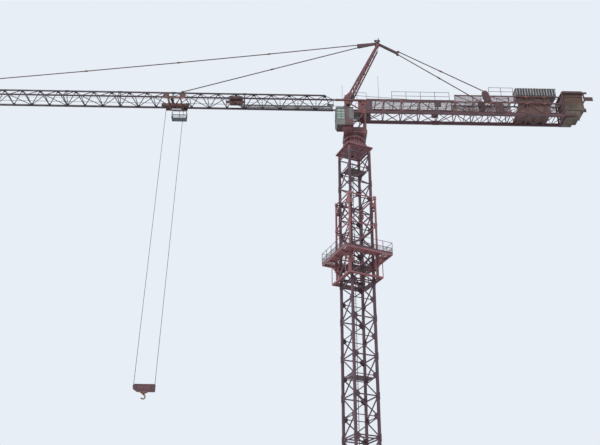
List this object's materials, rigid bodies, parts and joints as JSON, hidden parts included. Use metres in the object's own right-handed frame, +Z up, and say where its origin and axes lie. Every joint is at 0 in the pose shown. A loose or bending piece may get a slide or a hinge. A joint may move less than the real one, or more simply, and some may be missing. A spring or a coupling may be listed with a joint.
{
  "type": "tower crane, 1:10 scale model",
  "caption": "Hammerhead tower crane at 1:10: braced mast with climbing cage, slewing head with inclined A-frame, lattice jib with trolley and hook, counter-jib with winch and slabs.",
  "frame": {"origin": "centre of the mast's foot, on the ground", "axes": "+Z up along the mast, -X along the jib, +X along the counter-jib, -Y towards the side that carries the cab"},
  "size_m": [7.76, 0.611, 5.6601],
  "materials": {
    "oxide_paint": "weathered red oxide paint",
    "dark_paint": "dark red-brown paint",
    "brown_paint": "dull brown paint",
    "bare_steel": "oiled dark steel",
    "grating": "green-grey paint",
    "cab_paint": "satin grey paint",
    "cab_glass": "pale green glass",
    "concrete": "grey-brown cast concrete",
    "block_red": "dark maroon paint",
    "rope": "greased wire rope"
  },
  "bodies": {
    "mast": {"base_frame": "dark_paint", "mast_lower": "oxide_paint", "mast_middle": "oxide_paint", "mast_upper": "oxide_paint", "ladder": "dark_paint", "cage_frame": "oxide_paint", "cage_platform": "oxide_paint", "cage_guardrail": "oxide_paint", "lower_platform": "oxide_paint", "climbing_jack": "dark_paint", "top_platform": "oxide_paint", "slewing_seat": "oxide_paint", "slewing_ring_lower": "bare_steel"},
    "upperworks": {"slewing_ring_upper": "bare_steel", "turntable": "oxide_paint", "slewing_drives": "bare_steel", "tower_head": "oxide_paint", "cab_shell": "cab_paint", "cab_glazing": "cab_glass", "a_frame": "oxide_paint", "apex_head": "dark_paint", "tie_links": "dark_paint", "outer_tie": "dark_paint", "inner_tie": "dark_paint", "counter_tie_near": "dark_paint", "counter_tie_far": "dark_paint", "jib_root": "oxide_paint", "jib_middle": "oxide_paint", "jib_outer": "oxide_paint", "jib_walkway": "grating", "trolley_winch": "brown_paint", "counter_jib": "oxide_paint", "counter_deck": "brown_paint", "counter_handrails": "oxide_paint", "hoist_winch": "brown_paint", "resistor_bank": "grating", "counterweights": "concrete", "counterweight_frame": "oxide_paint"},
    "trolley": {"trolley_frame": "brown_paint", "trolley_wheels": "bare_steel", "service_basket": "grating", "hoist_ropes": "rope"},
    "hook_block": {"hook_block": "block_red", "hook_sheaves": "bare_steel"},
    "hook": {"hook": "bare_steel"}
  },
  "joints": [
    {"name": "slew", "type": "hinge", "parent": "mast", "child": "upperworks", "pos_m": [0, 0, 4.364], "axis": [0, 0, 1], "continuous": true},
    {"name": "trolley_travel", "type": "slide", "parent": "upperworks", "child": "trolley", "axis": [-1, 0, 0], "range_m": [-1.23, 3.4]},
    {"name": "hoist", "type": "slide", "parent": "trolley", "child": "hook_block", "axis": [0, 0, 1], "range_m": [-1.72, 2.6], "deforming": ["hoist_ropes"]},
    {"name": "hook_swivel", "type": "hinge", "parent": "hook_block", "child": "hook", "pos_m": [-1.762, 0, 1.843], "axis": [0, 0, 1], "continuous": true}
  ]
}
